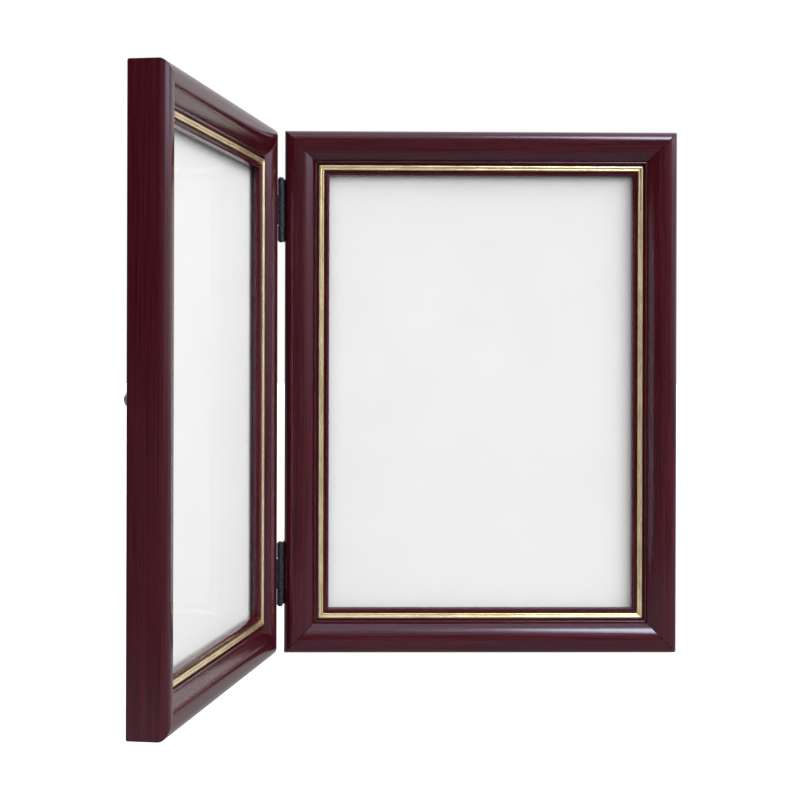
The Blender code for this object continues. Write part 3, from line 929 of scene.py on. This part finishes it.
def add_area_light(name, target, azimuth, elevation, distance, size, power, **flags):
    """A soft rectangular lamp that faces target from a direction given in degrees."""
    data = bpy.data.lights.new(name, "AREA")
    data.shape = "RECTANGLE"
    data.size, data.size_y = size
    data.energy = power
    lamp = bpy.data.objects.new(name, data)
    a, e = math.radians(azimuth), math.radians(elevation)
    back = Vector((math.sin(a) * math.cos(e), -math.cos(a) * math.cos(e), math.sin(e)))
    lamp.location = target + back * distance
    lamp.rotation_euler = back.to_track_quat("Z", "Y").to_euler()
    lamp.visible_camera = False
    for key, value in flags.items():
        setattr(lamp, key, value)
    bpy.context.scene.collection.objects.link(lamp)


def seen_or_not(tree, seen, otherwise):
    """One strength for what the camera sees, another for the light that a surface gives."""
    light_path = node(tree, "ShaderNodeLightPath")
    mixed = tree.nodes.new("ShaderNodeMix")
    tree.links.new(light_path.outputs["Is Camera Ray"], mixed.inputs[0])
    for socket, value in ((mixed.inputs[2], otherwise), (mixed.inputs[3], seen)):
        if isinstance(value, bpy.types.NodeSocket):
            tree.links.new(value, socket)
        else:
            socket.default_value = value
    return mixed.outputs[0]


def add_stage():
    """A white table, a little lit from below so that it stays white right to the horizon."""
    reach = FLOOR_REACH
    drop = FLOOR_DROP
    floor_mesh = bpy.data.meshes.new("floor")
    floor_mesh.from_pydata([(-reach, -reach, drop), (reach, -reach, drop),
                            (reach, reach, drop), (-reach, reach, drop)], [], [(0, 1, 2, 3)])
    floor = bpy.data.objects.new("floor", floor_mesh)
    bpy.context.scene.collection.objects.link(floor)
    material, tree, shader = new_material("floor_white")
    tree.links.new(seen_or_not(tree, FLOOR_WHITE, FLOOR_SOFT), shader.inputs["Base Color"])
    shader.inputs["Roughness"].default_value = 0.9
    shader.inputs["Specular IOR Level"].default_value = 0.0
    shader.inputs["Emission Color"].default_value = (1.0, 1.0, 1.0, 1.0)
    parts = node(tree, "ShaderNodeSeparateXYZ", Vector=object_coordinates(tree))
    glow = remap(tree, parts.outputs["Y"], *FLOOR_GLOW, True)
    tree.links.new(seen_or_not(tree, FLOOR_SEEN, glow), shader.inputs["Emission Strength"])
    floor_mesh.materials.append(material)


def add_world():
    """White to the camera. As a light it is bright behind, above and to the right."""
    world = bpy.data.worlds.new("studio")
    bpy.context.scene.world = world
    world.use_nodes = True
    tree = world.node_tree
    background = tree.nodes["Background"]
    direction = node(tree, "ShaderNodeTexCoord").outputs["Generated"]
    parts = node(tree, "ShaderNodeSeparateXYZ", Vector=direction)
    total = remap(tree, parts.outputs["X"], *WORLD_SIDES)
    for axis, low, high, strength in WORLD_LOBES:
        total = math_node(tree, "ADD", total,
                          remap(tree, parts.outputs[axis], low, high, 0.0, strength, True))
    background.inputs["Color"].default_value = (1.0, 1.0, 1.0, 1.0)
    tree.links.new(seen_or_not(tree, WORLD_SEEN, total), background.inputs["Strength"])


def light_scene():
    middle = AXIS + Vector(LAMP_TARGET)
    for name, azimuth, elevation, distance, size, radiance, flags in LAMPS:
        power = radiance * math.pi * size[0] * size[1]
        add_area_light(name, middle, azimuth, elevation, distance, size, power, **flags)
    add_world()
    add_stage()
    bpy.context.scene.view_settings.view_transform = "Standard"


# ---------------------------------------------------------------- assembly

for leaf_name in SIDES:
    for place_name in PLACES:
        add_member(leaf_name, "moulding", place_name, moulding_section(), "mahogany",
                   f"{leaf_name}_{place_name}")
        add_member(leaf_name, "bead", place_name, bead_section(), "gilt",
                   f"{leaf_name}_gilt_bead_{place_name}")

for leaf_name in SIDES:
    for kind_name, slot_name in (("glass", "glass"), ("picture", "picture"),
                                 ("backing_board", "board")):
        add_sheet(leaf_name, kind_name, slot_name)
    for which_name in ("lower", "upper"):
        add_hinge_plate(leaf_name, which_name)
    for place_name in PLACES:
        add_turn_button(leaf_name, place_name)
    add_wedge_nails(leaf_name)
for which_name in ("lower", "upper"):
    add_hinge_pin(which_name)

add_camera()
light_scene()
